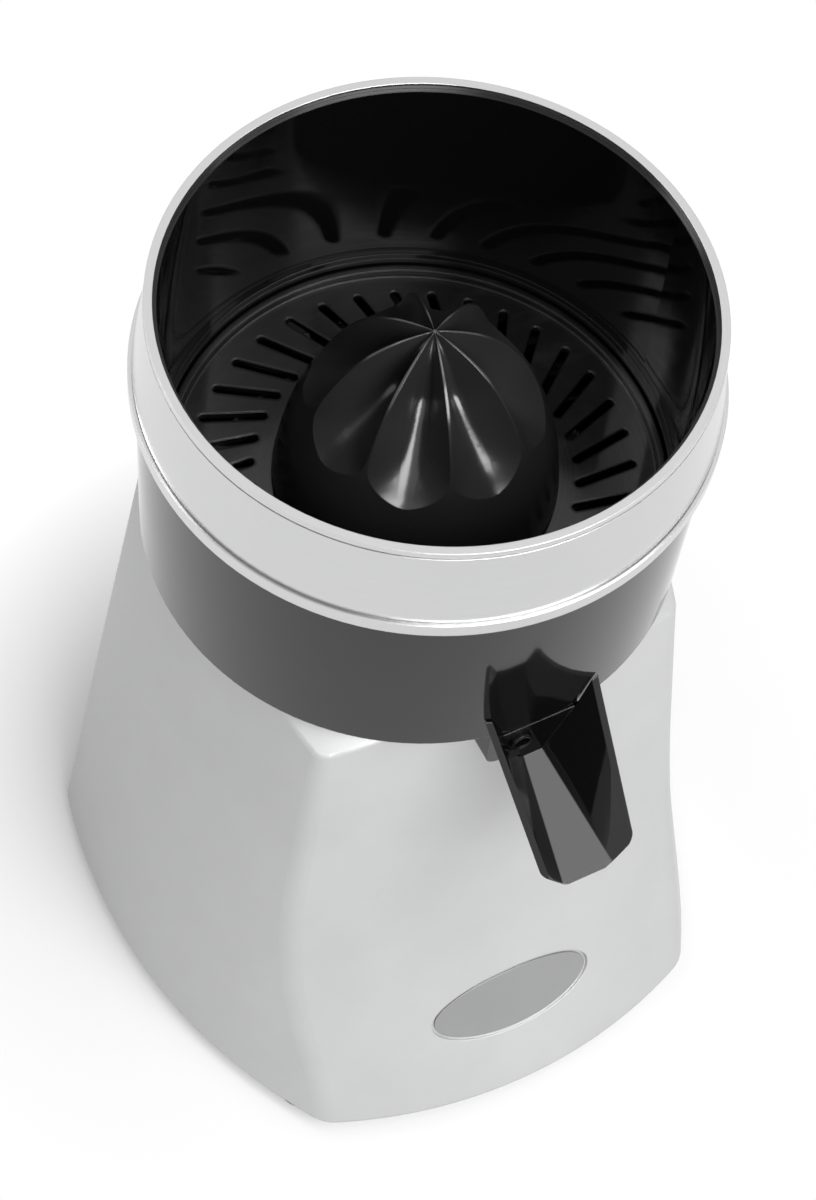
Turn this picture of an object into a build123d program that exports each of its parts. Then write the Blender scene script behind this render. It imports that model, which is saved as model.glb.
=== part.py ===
from build123d import *

import math
import os

# Electric citrus juicer: motor base, bowl with splash ring, strainer, reamer and spout.
# Millimetres. +Z is up, the table is z = 0, the drive axis is x = y = 0 and the spout points to -Y.

# Clearances
FIT_GAP = 0.05            # radial gap of shafts in bores and of pressed or screwed pieces
LOOSE_GAP = 0.3           # gap between lift-off pieces that slide past each other

# Housing: a cast shell of four bowed faces
FOOT_HEIGHT = 8.0         # table to the housing's rim
HOUSING_HEIGHT = 218.0    # rim to the deck that the bowl stands on
WALL = 4.0
DECK_THICKNESS = 7.0
LAND_MARGIN = 2.6         # flat deck beyond the bowl's foot; past it the four corner lands fall away
LAND_SLOPE = 35.0         # degrees
LAND_ROUND = 2.5          # soft edge round the deck
SHOULDER_DROP = 8.4       # deck to the corner points of the lands
SHOULDER_INSET = 15.0     # flat deck's radius to the corner points, sideways, to the front and to the back
SHOULDER_FRONT_INSET = 15.5
SHOULDER_BACK_INSET = 16.0
CREASE_HEIGHT = 80.0      # rim to the crease where the front flares forward
CREASE_SPREAD = 12.6      # front corners at the crease, outside the shoulder's
CREASE_REACH = 7.5
CREASE_SOFTNESS = 11.0
RIM_FRONT_SPREAD = 9.0    # corners at the rim, outside the shoulder's
RIM_FRONT_REACH = 46.5
RIM_BACK_SPREAD = 37.0
RIM_BACK_DRAW = 9.0       # how far the back corners at the rim are drawn forward
SHOULDER_BOW = 12.0       # how far each face swells past its corners
RIM_BOW_FRONT = 17.0
RIM_BOW_SIDE = 20.0
RIM_BOW_BACK = 22.0
SHOULDER_ROUND = 8.0      # corner radius at the deck and at the rim
RIM_ROUND = 15.0
CAVITY_STEP = 8.0         # lower roof over the corners, inside
HOUSING_STEPS = 6         # spans between the sections of the bowed shell
OVERRUN = 1.0             # how far cuts and joins run past a face

# Badge recess, low on the front
BADGE_WIDTH = 68.0
BADGE_LENGTH = 28.0
BADGE_TILT = 30.0         # floor's lean from upright, degrees
BADGE_FOOT_HEIGHT = 25.0  # rim to the recess's lower end, where it runs out flush
BADGE_BEVEL = 5.0
BADGE_PLATE = 0.8
BADGE_INSET = 1.2
BADGE_REACH = 14.0        # how far the recess is cut outwards
BADGE_SAG = 3.0           # bow of the recess's floor, across its width

# Base plate, feet and posts
PLATE_THICKNESS = 2.0
PLATE_RECESS = 1.0        # rim to the plate's underside
PLATE_GAP = 0.5
FOOT_FRONT_INSET_X = 2.0  # rim's corner points to the middle of each foot
FOOT_FRONT_INSET_Y = 21.0
FOOT_BACK_INSET_X = 20.0
FOOT_BACK_INSET_Y = 17.0
FOOT_RADIUS = 12.0
FOOT_TAPER = 2.0
FOOT_NECK = 8.0           # radius of the foot where it meets the plate, inside the rim
POST_RADIUS = 7.0
POST_HEIGHT = 45.0
WEB_THICKNESS = 5.0
WEB_REACH = 60.0
FOOT_SCREW_RADIUS = 2.5
FOOT_SCREW_HEAD = 4.5
FOOT_SCREW_HEAD_HEIGHT = 3.0
FOOT_SEAT = 5.0           # table to the seat of the screw head
FOOT_SCREW_BITE = 10.0    # depth in the post
VENT_WIDTH = 3.6
VENT_LENGTH = 46.0
VENT_PITCH = 10.0
VENT_COUNT = 7

# Motor, hung under the deck
STATOR_RADIUS = 53.0
STATOR_BORE = 30.0
STATOR_LENGTH = 48.0
STATOR_SLOTS = 18
SLOT_WIDTH = 5.0
SLOT_DEPTH = 12.0
AIR_GAP = 0.5
WINDING_INSET = 4.0       # bore to the coils' inside
WINDING_MARGIN = 6.0      # coils' outside to the core's outside
WINDING_HEIGHT = 15.0
WINDING_ROUND = 5.0
BELL_WALL = 3.5
BELL_END = 5.0
UPPER_BELL_HEIGHT = 44.0
LOWER_BELL_HEIGHT = 40.0
BEARING_RADIUS = 16.0
BEARING_WIDTH = 10.0
BEARING_SEAT_WALL = 4.0
BEARING_RING = 3.5        # thickness of the two rings, beside the groove
BEARING_GROOVE_DEPTH = 1.2
EAR_RADIUS = 6.5
EAR_HEIGHT = 8.0
MOTOR_BOLT_OFFSET = 4.5   # core's outside to the bolts' axes
MOTOR_BOLT_RADIUS = 2.5
MOTOR_BOLT_HEAD = 4.5
MOTOR_BOLT_HEAD_HEIGHT = 4.0
MOTOR_BOLT_BITE = 5.0     # depth in the deck
MOTOR_BOLTS = 4
END_RING_INSET = 4.0      # stator's bore to the end rings' outside
END_RING_WIDTH = 11.0
END_RING_HEIGHT = 6.0
SHAFT_RADIUS = 6.0
SHAFT_CHAMFER = 1.0
SHAFT_SHOULDER = 3.0      # width of the collar under the rotor
SHAFT_COLLAR_HEIGHT = 4.0
SHAFT_REACH = 80.0        # deck to the shaft's top end
SHAFT_TAIL = 2.0          # shaft below the fan
FAN_MARGIN = 9.0          # fan's tips inside the core's outside
FAN_HEIGHT = 12.0
FAN_HUB_WALL = 5.0
FAN_DISC = 2.0
FAN_BLADES = 8
FAN_BLADE_THICKNESS = 2.0
FAN_GAP = 4.0             # lower bell to the fan

# Neck and seal round the shaft, on the deck
NECK_WALL = 4.0           # neck outside the seal
NECK_HEIGHT = 20.0
NECK_ROOM = 4.0           # shaft to the neck's bore
SEAL_SEAT = 3.0           # how far the seal's seat is wider than that bore
SEAL_HEIGHT = 7.0
SEAL_LIP = 2.0            # rubber inside the groove, and outside it
SEAL_JACKET = 2.5
SEAL_GROOVE_DEPTH = 3.0

# Drive to the reamer
PIN_RADIUS = 2.0
PIN_INSET = 2.0           # pin's ends inside the sleeve's outside
PIN_HEIGHT = 50.0         # deck to the cross pin's axis
SLEEVE_FOOT_WALL = 5.5
SLEEVE_FOOT_DROP = 4.0    # cross pin's axis to the sleeve's lower end
SLEEVE_FOOT_HEIGHT = 10.0
SLEEVE_WALL = 2.5         # shaft to the flats of the hexagon
SLEEVE_CROWN = 6.0        # closed top over the shaft's end

# Bowl
BOWL_MOUTH_RADIUS = 93.3  # outer wall at its top; the base below follows it
BOWL_FLARE = 4.2          # how far the wall under the splash ring stands out past the mouth
BOWL_TUCK = 2.0           # how far the wall's lower edge is drawn in again
BOWL_EDGE_LIFT = 3.5      # deck to that edge
BOWL_BELT_HEIGHT = 83.0   # deck to the splash ring's lower end
BOWL_HEIGHT = 121.5       # deck to the bowl's top edge
BOWL_WALL = 2.4
BOWL_EDGE_ROUND = 1.0
LEDGE_HEIGHT = 32.0       # deck to the ledge above the strainer
LEDGE_INSET = 5.1         # mouth's outside to the ledge's inner edge
LEDGE_WIDTH = 2.2
SHELF_HEIGHT = 23.5       # deck to the shelf that carries the strainer
SHELF_WIDTH = 7.2
FLOOR_LIFT = 4.0          # deck to the floor's underside
FLOOR_THICKNESS = 3.0
FLOOR_FALL = 2.5          # how much lower the floor is at its rim
FOOT_RING_WIDTH = 4.0
CHIMNEY_GAP = 1.0
CHIMNEY_WALL = 3.0
CHIMNEY_HEIGHT = 42.0
GASKET_MARGIN = 9.4       # foot ring to the gasket
GASKET_WIDTH = 6.0

# Outlet boss under the bowl's front edge, and its stub
BOSS_HALF_WIDTH = 17.5
BOSS_SETBACK = 3.0        # bowl's lower edge to the boss's front
BOSS_DEPTH = 8.3
BOSS_DROP = 19.5          # deck to the boss's lower end
BOSS_ROUND = 6.0
STUB_X = -6.5
STUB_DROP = 5.0           # deck to the stub's axis
STUB_RADIUS = 4.2
STUB_BORE = 2.9
STUB_LENGTH = 4.0
WELL_WIDTH = 9.0          # upright duct from the chamber down to the stub
WELL_DEPTH = 4.6
WELL_BLOCK_HALF = 15.0    # solid round the duct, inside the outer wall
CHANNEL_HEIGHT = 11.0

# Splash ring
RING_SHEET = 1.6
RING_LIP_HEIGHT = 2.5     # lip above the bowl's top edge
RING_LIP_OVERHANG = 1.0   # lip past the bowl's mouth, inwards
RING_BEAD_OUT = 0.6       # bead at the ring's lower end
RING_BEAD_HEIGHT = 5.5
RING_GROOVE = 0.7
RING_GROOVE_HEIGHT = 1.2
RING_LIP_ROUND = 1.1

# Strainer
STRAINER_THICKNESS = 2.5
STRAINER_RIM_HEIGHT = 5.5
STRAINER_RIM_WIDTH = 2.6
STRAINER_RIM_ROUND = 1.0
STRAINER_COLLAR_WALL = 2.5
STRAINER_COLLAR_HEIGHT = 12.0
SLOT_COUNT = 36
SLOT_CLEARANCE = 6.0      # reamer's lower edge to the slots
SLOT_MARGIN = 3.0         # slots' outer ends to the shelf's inner edge
SLOT_SKEW = 28.0
SLOT_OPENING = 3.2

# Reamer
REAMER_RADIUS = 50.0
REAMER_SKIRT_LIFT = 2.5   # strainer plate to the reamer's lower edge
REAMER_CROWN = 24.0       # sleeve's top to the tip
REAMER_RIDGES = 8
REAMER_FIRST_RIDGE = 30.0
REAMER_HUB_WALL = 6.5
REAMER_WALL = 5.0
RIDGE_TIP_SLOPE = 0.25
RIDGE_FOOT_LEAN = 0.1
# Points of a ridge: shares of the reamer's radius, and of its height down from the tip
RIDGE_UPPER = (0.48, 0.1472)
RIDGE_LOWER = (0.84, 0.5644)
# Hollow under the reamer, in the same shares but up from the lower edge
HOLLOW_MIDDLE = (0.68, 0.3067)
HOLLOW_TOP = 0.5644
# Stations along a flute: share of the ridge's length; depth of the cutter's point below the ridge and round
# of that point, as shares of the reamer's radius; lean of the cutter's flanks, in degrees
FLUTE = (
    (0.008, 0.014, 0.002, 22.0),
    (0.055, 0.1, 0.012, 21.7),
    (0.13, 0.23, 0.03, 22.9),
    (0.225, 0.34, 0.05, 26.0),
    (0.3, 0.33, 0.064, 33.4),
    (0.4, 0.28, 0.09, 45.4),
    (0.51, 0.17, 0.16, 66.0),
    (0.575, 0.082, 0.26, 77.5),
    (0.64, -0.01, 0.3, 80.0),
    (0.69, -0.07, 0.3, 80.0),
)
FLUTE_HEADROOM = 0.14     # cutter above the ridge, as a share of the reamer's radius

# Spout
SPOUT_LAP = 2.5           # how far the trough's root lies behind the boss's front
SPOUT_REACH = 48.5
SPOUT_ROOT_TOP = 20.6     # heights from the deck
SPOUT_TIP_TOP = -27.7
SPOUT_ROOT_FLOOR = -16.8
SPOUT_TIP_FLOOR = -33.9
SPOUT_ROOT_HALF = 22.2
SPOUT_TIP_HALF = 18.0
SPOUT_ROOT_FLOOR_HALF = 3.0
SPOUT_TIP_FLOOR_HALF = 9.9
SPOUT_WALL = 2.4
SPOUT_BACK = 2.4
SPOUT_ROUND = 2.5
SPOUT_GAP = 0.8           # bowl's wall to the spout's upper ends

# Electrics in the base
SWITCH_HEIGHT = 46.0      # rim to the switch's centre
SWITCH_OPENING_X = 21.0
SWITCH_OPENING_Z = 29.0
SWITCH_FLANGE = 2.0
SWITCH_FLANGE_EDGE = 2.0
SWITCH_DEPTH = 24.0
SWITCH_WALL = 2.0
ROCKER_TILT = 9.0
ROCKER_PROUD = 3.0
ROCKER_PIVOT_DEPTH = 5.0
ROCKER_BACK = 3.0
ROCKER_SWING = 1.7        # room at each end for the tilt
SWITCH_POCKET = 11.0
GLAND_X = -46.0
GLAND_HEIGHT = 40.0
GLAND_RADIUS = 8.0
GLAND_FLANGE_EDGE = 3.0
GLAND_FLANGE_THICKNESS = 4.0
GLAND_BORE = 4.0
GLAND_TAIL = 14.0
GLAND_NUT_WALL = 4.0
GLAND_NUT_THICKNESS = 5.0
PAD_THICKNESS = 5.0       # flat wall behind the switch and the gland
SPOT_DEPTH = 1.6          # how deep the flat is let into the bowed back
PAD_EDGE = 4.0
PAD_REACH = 40.0
CAPACITOR_RADIUS = 15.0
CAPACITOR_LENGTH = 58.0
CAPACITOR_ROUND = 2.0
CAPACITOR_SIDE_ROOM = 34.0  # rim's front corner points to the capacitor's axis and to its front end
CAPACITOR_FRONT_ROOM = 12.0
CLIP_THICKNESS = 1.5
CLIP_WIDTH = 14.0
CLIP_FOOT = 14.0
TERMINAL_X = -34.0
TERMINAL_Y = 10.0
TERMINAL_LENGTH = 40.0
TERMINAL_WIDTH = 18.0
TERMINAL_HEIGHT = 15.0
TERMINAL_POLES = 4
TERMINAL_SCREW = 2.5

# Radii and places worked out from the sizes above
BOWL_BELT_RADIUS = BOWL_MOUTH_RADIUS + BOWL_FLARE
BOWL_EDGE_RADIUS = BOWL_BELT_RADIUS - BOWL_TUCK
LEDGE_RADIUS = BOWL_MOUTH_RADIUS - LEDGE_INSET
SHELF_RADIUS = LEDGE_RADIUS - SHELF_WIDTH
CHAMBER_OUTSIDE = SHELF_RADIUS + BOWL_WALL
GASKET_RADIUS = CHAMBER_OUTSIDE - FOOT_RING_WIDTH - GASKET_MARGIN
LAND_RADIUS = CHAMBER_OUTSIDE + LAND_MARGIN
SHOULDER_X = LAND_RADIUS - SHOULDER_INSET
SHOULDER_FRONT = LAND_RADIUS - SHOULDER_FRONT_INSET
SHOULDER_BACK = LAND_RADIUS - SHOULDER_BACK_INSET
CREASE_X = SHOULDER_X + CREASE_SPREAD
CREASE_FRONT = SHOULDER_FRONT + CREASE_REACH
RIM_FRONT_X = SHOULDER_X + RIM_FRONT_SPREAD
RIM_FRONT_Y = SHOULDER_FRONT + RIM_FRONT_REACH
RIM_BACK_X = SHOULDER_X + RIM_BACK_SPREAD
RIM_BACK_Y = SHOULDER_BACK - RIM_BACK_DRAW
FOOT_FRONT_X = RIM_FRONT_X - FOOT_FRONT_INSET_X
FOOT_FRONT_Y = RIM_FRONT_Y - FOOT_FRONT_INSET_Y
FOOT_BACK_X = RIM_BACK_X - FOOT_BACK_INSET_X
FOOT_BACK_Y = RIM_BACK_Y - FOOT_BACK_INSET_Y
MOTOR_BOLT_CIRCLE = STATOR_RADIUS + MOTOR_BOLT_OFFSET
WINDING_INNER = STATOR_BORE + WINDING_INSET
WINDING_OUTER = STATOR_RADIUS - WINDING_MARGIN
END_RING_OUTER = STATOR_BORE - END_RING_INSET
END_RING_INNER = END_RING_OUTER - END_RING_WIDTH
BEARING_GROOVE_INNER = SHAFT_RADIUS + BEARING_RING
BEARING_GROOVE_OUTER = BEARING_RADIUS - BEARING_RING
SHAFT_COLLAR = SHAFT_RADIUS + SHAFT_SHOULDER
FAN_RADIUS = STATOR_RADIUS - FAN_MARGIN
FAN_HUB = SHAFT_RADIUS + FAN_HUB_WALL
NECK_BORE = SHAFT_RADIUS + NECK_ROOM
SEAL_RADIUS = NECK_BORE + SEAL_SEAT
SEAL_GROOVE_INNER = SHAFT_RADIUS + SEAL_LIP
SEAL_GROOVE_OUTER = SEAL_RADIUS - SEAL_JACKET
NECK_RADIUS = SEAL_RADIUS + NECK_WALL
CHIMNEY_BORE = NECK_RADIUS + CHIMNEY_GAP
CHIMNEY_RADIUS = CHIMNEY_BORE + CHIMNEY_WALL
SLEEVE_FOOT_RADIUS = SHAFT_RADIUS + SLEEVE_FOOT_WALL
SLEEVE_FLATS = 2 * (SHAFT_RADIUS + SLEEVE_WALL)
PIN_LENGTH = 2 * (SLEEVE_FOOT_RADIUS - PIN_INSET)
REAMER_HUB_RADIUS = SLEEVE_FLATS / 2 + REAMER_HUB_WALL
RING_LIP_INNER = BOWL_MOUTH_RADIUS - RING_LIP_OVERHANG
BOSS_FRONT = BOWL_EDGE_RADIUS - BOSS_SETBACK
BOSS_BACK = BOSS_FRONT - BOSS_DEPTH
SPOUT_ROOT_Y = BOSS_FRONT - SPOUT_LAP
SPOUT_TIP_Y = SPOUT_ROOT_Y + SPOUT_REACH
SLOT_INNER = REAMER_RADIUS + SLOT_CLEARANCE
SLOT_OUTER = SHELF_RADIUS - SLOT_MARGIN
GLAND_FLANGE = GLAND_RADIUS + GLAND_FLANGE_EDGE
GLAND_NUT = GLAND_RADIUS + GLAND_NUT_WALL
CAPACITOR_X = RIM_FRONT_X - CAPACITOR_SIDE_ROOM
CAPACITOR_Y = -RIM_FRONT_Y + CAPACITOR_FRONT_ROOM + CAPACITOR_LENGTH / 2

# Heights worked out from the sizes above
RIM = FOOT_HEIGHT
DECK = RIM + HOUSING_HEIGHT
SHOULDER = DECK - SHOULDER_DROP
CREASE = RIM + CREASE_HEIGHT
DECK_UNDER = DECK - DECK_THICKNESS
PLATE_UNDER = RIM + PLATE_RECESS
PLATE_TOP = PLATE_UNDER + PLATE_THICKNESS
STATOR_TOP = DECK_UNDER - UPPER_BELL_HEIGHT
STATOR_LOW = STATOR_TOP - STATOR_LENGTH
BELL_LOW = STATOR_LOW - LOWER_BELL_HEIGHT
FAN_TOP = BELL_LOW - FAN_GAP
SHAFT_LOW = FAN_TOP - FAN_HEIGHT - SHAFT_TAIL
SHAFT_TOP = DECK + SHAFT_REACH
SLEEVE_LOW = DECK + PIN_HEIGHT - SLEEVE_FOOT_DROP
SLEEVE_STEP = SLEEVE_LOW + SLEEVE_FOOT_HEIGHT
SLEEVE_TOP = SHAFT_TOP + SLEEVE_CROWN
BOWL_EDGE = DECK + BOWL_EDGE_LIFT
BOWL_TOP = DECK + BOWL_HEIGHT
BELT = DECK + BOWL_BELT_HEIGHT
LEDGE = DECK + LEDGE_HEIGHT
SHELF = DECK + SHELF_HEIGHT
FLOOR_UNDER = DECK + FLOOR_LIFT
STRAINER_TOP = SHELF + STRAINER_THICKNESS
REAMER_LOW = STRAINER_TOP + REAMER_SKIRT_LIFT
REAMER_TIP = SLEEVE_TOP + REAMER_CROWN
CHIMNEY_TOP = DECK + CHIMNEY_HEIGHT
STUB_Z = DECK - STUB_DROP

FEET = {
    "foot_front_left": (-FOOT_FRONT_X, -FOOT_FRONT_Y),
    "foot_front_right": (FOOT_FRONT_X, -FOOT_FRONT_Y),
    "foot_back_left": (-FOOT_BACK_X, FOOT_BACK_Y),
    "foot_back_right": (FOOT_BACK_X, FOOT_BACK_Y),
}

UP = (Align.CENTER, Align.CENTER, Align.MIN)
DOWN = (Align.CENTER, Align.CENTER, Align.MAX)
OUTWARD = (Align.MIN, Align.CENTER, Align.MIN)
BEHIND = (Align.CENTER, Align.MIN, Align.CENTER)
BEHIND_UP = (Align.CENTER, Align.MIN, Align.MIN)
TO_BACK = (-90, 0, 0)     # turns an upright cylinder to point to +Y
ALONG_X = (0, 90, 0)


def mix(start, end, share):
    """Value the given share of the way from start to end."""
    return start + (end - start) * share


def flare(z):
    """Growth of the front's flare: about 0 above the crease, rising softly to 1 at the rim."""
    def ramp(depth):
        return (depth + math.hypot(depth, 2 * CREASE_SOFTNESS)) / 2
    return ramp(CREASE - z) / ramp(CREASE - RIM)


def descent(z):
    """Share of the way from the shoulder down to the rim."""
    return (SHOULDER - z) / (SHOULDER - RIM)


def front_corner(z):
    """Half width and forward reach of the front corners at height z."""
    upper = (SHOULDER - z) / (SHOULDER - CREASE)
    at_rim = (SHOULDER - RIM) / (SHOULDER - CREASE)
    x = mix(SHOULDER_X, CREASE_X, upper)
    x += (RIM_FRONT_X - mix(SHOULDER_X, CREASE_X, at_rim)) * flare(z)
    y = mix(SHOULDER_FRONT, CREASE_FRONT, upper)
    y += (RIM_FRONT_Y - mix(SHOULDER_FRONT, CREASE_FRONT, at_rim)) * flare(z)
    return x, -y


def back_corner(z):
    """Half width and rearward reach of the back corners at height z."""
    return mix(SHOULDER_X, RIM_BACK_X, descent(z)), mix(SHOULDER_BACK, RIM_BACK_Y, descent(z))


def front_face_y(z):
    """Middle of the bowed front face at height z."""
    return front_corner(z)[1] - mix(SHOULDER_BOW, RIM_BOW_FRONT, descent(z))


def back_face_y(z, x=0.0):
    """Bowed back face at height z, x away from its middle."""
    corner_x, corner_y = back_corner(z)
    bow = mix(SHOULDER_BOW, RIM_BOW_BACK, descent(z))
    return corner_y + bow * (1 - (x / corner_x) ** 2)


def bowed_side(start, end, bow, inset):
    """Centre, radius and middle of the arc that swells by the bow, right of the way from start to end."""
    chord = math.dist(start, end)
    radius = (chord ** 2 / 4 + bow ** 2) / (2 * bow)
    outward = Vector(end[1] - start[1], start[0] - end[0]) / chord
    centre = (Vector(*start) + Vector(*end)) / 2 + outward * (bow - radius)
    return centre, radius - inset, centre + outward * (radius - inset)


def meeting_point(side, next_side, corner):
    """Point nearest to the corner where the circles of two sides meet."""
    centre, radius, _ = side
    next_centre, next_radius, _ = next_side
    way = next_centre - centre
    along = (radius ** 2 - next_radius ** 2 + way.length ** 2) / (2 * way.length)
    aside = math.sqrt(radius ** 2 - along ** 2)
    way = way.normalized()
    points = [centre + way * along + way.rotate(Axis.Z, turn) * aside for turn in (90, -90)]
    return min(points, key=lambda point: (point - Vector(*corner)).length)


def housing_outline(z, inset=0.0):
    """Draws the four-sided outline with bowed sides and round corners at height z, or one inset from it."""
    front_x, front_y = front_corner(z)
    back_x, back_y = back_corner(z)
    share = descent(z)
    front = bowed_side(
        (-front_x, front_y), (front_x, front_y), mix(SHOULDER_BOW, RIM_BOW_FRONT, share), inset
    )
    side = bowed_side((front_x, front_y), (back_x, back_y), mix(SHOULDER_BOW, RIM_BOW_SIDE, share), inset)
    back = bowed_side((back_x, back_y), (-back_x, back_y), mix(SHOULDER_BOW, RIM_BOW_BACK, share), inset)
    near = meeting_point(front, side, (front_x, front_y))
    far = meeting_point(side, back, (back_x, back_y))
    swell = side[2]
    with BuildSketch(Plane.XY.offset(z)) as outline:
        with BuildLine():
            ThreePointArc((-near.X, near.Y), (0, front[2].Y), (near.X, near.Y))
            ThreePointArc((near.X, near.Y), (swell.X, swell.Y), (far.X, far.Y))
            ThreePointArc((far.X, far.Y), (0, back[2].Y), (-far.X, far.Y))
            ThreePointArc((-far.X, far.Y), (-swell.X, swell.Y), (-near.X, near.Y))
        make_face()
        fillet(outline.vertices(), mix(SHOULDER_ROUND, RIM_ROUND, share) - inset)
    return outline.sketch.face()


def heights(low, high):
    """Heights of the housing's sections, evenly spaced from low to high."""
    return [mix(low, high, step / HOUSING_STEPS) for step in range(HOUSING_STEPS + 1)]


def save(piece, name):
    """Labels a finished piece and writes its STEP file."""
    piece.part.label = name
    export_step(piece.part, "parts/" + name + ".step")


os.makedirs("parts", exist_ok=True)


def ring_section(inner, outer, low, high):
    """Draws a rectangle in the XZ plane, from the inner to the outer radius."""
    with Locations(((inner + outer) / 2, (low + high) / 2)):
        return Rectangle(outer - inner, high - low)


SWITCH_Z = RIM + SWITCH_HEIGHT
SWITCH_FACE = back_face_y(SWITCH_Z, SWITCH_OPENING_X / 2 + SWITCH_FLANGE_EDGE) - SPOT_DEPTH
GLAND_Z = RIM + GLAND_HEIGHT
GLAND_FACE = back_face_y(GLAND_Z, abs(GLAND_X) + GLAND_FLANGE) - SPOT_DEPTH

# Recess for the badge: its floor leans back more than the flared front
badge_lean = math.radians(BADGE_TILT)
badge_foot_z = RIM + BADGE_FOOT_HEIGHT
badge_plane = Plane(
    origin=(
        0,
        front_face_y(badge_foot_z) + math.sin(badge_lean) * BADGE_LENGTH / 2,
        badge_foot_z + math.cos(badge_lean) * BADGE_LENGTH / 2,
    ),
    x_dir=(1, 0, 0),
    z_dir=(0, -math.cos(badge_lean), math.sin(badge_lean)),
)

# The recess's floor is bowed across, like the housing's front
badge_half = BADGE_WIDTH / 2
floor_plane = Plane(
    origin=(0, front_face_y(badge_foot_z), badge_foot_z),
    x_dir=(1, 0, 0),
    z_dir=(0, math.sin(badge_lean), math.cos(badge_lean)),
)


def floor_layer(depth):
    """Layer in front of the recess's bowed floor, of the given depth at its middle."""
    with BuildPart() as layer:
        with BuildSketch(floor_plane):
            with BuildLine():
                ThreePointArc((-badge_half, BADGE_SAG), (0, 0), (badge_half, BADGE_SAG))
                Line((badge_half, BADGE_SAG), (badge_half, BADGE_SAG - depth))
                ThreePointArc((badge_half, BADGE_SAG - depth), (0, -depth), (-badge_half, BADGE_SAG - depth))
                Line((-badge_half, BADGE_SAG - depth), (-badge_half, BADGE_SAG))
            make_face()
        extrude(amount=2 * BADGE_LENGTH, both=True)
    return layer


with BuildPart() as badge_recess:
    with BuildSketch(badge_plane.offset(-BADGE_SAG)):
        Ellipse(badge_half, BADGE_LENGTH / 2)
    extrude(amount=BADGE_REACH, taper=-BADGE_BEVEL)
    add(floor_layer(BADGE_REACH).part, mode=Mode.INTERSECT)

# Inner space of the housing, with the posts, webs and pads that stand in it left out
with BuildPart() as cavity:
    loft([housing_outline(z, WALL) for z in heights(RIM - OVERRUN, DECK_UNDER - CAVITY_STEP)])
    for x, y in FEET.values():
        outward = math.degrees(math.atan2(y, x))
        with Locations(Location((x, y, PLATE_TOP), (0, 0, outward))):
            Cylinder(POST_RADIUS, POST_HEIGHT, align=UP, mode=Mode.SUBTRACT)
            Box(WEB_REACH, WEB_THICKNESS, POST_HEIGHT, align=OUTWARD, mode=Mode.SUBTRACT)
    with Locations((0, SWITCH_FACE - PAD_THICKNESS, SWITCH_Z)):
        Box(
            SWITCH_OPENING_X + 2 * (SWITCH_FLANGE_EDGE + PAD_EDGE),
            PAD_REACH,
            SWITCH_OPENING_Z + 2 * (SWITCH_FLANGE_EDGE + PAD_EDGE),
            align=BEHIND,
            mode=Mode.SUBTRACT,
        )
    with Locations((GLAND_X, GLAND_FACE - PAD_THICKNESS, GLAND_Z)):
        Cylinder(
            GLAND_FLANGE + PAD_EDGE, PAD_REACH, rotation=TO_BACK, align=UP, mode=Mode.SUBTRACT
        )
    with BuildSketch(badge_plane.offset(-WALL - BADGE_SAG)):
        Ellipse(badge_half + WALL, BADGE_LENGTH / 2 + WALL)
    extrude(amount=PAD_REACH, mode=Mode.SUBTRACT)

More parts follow.
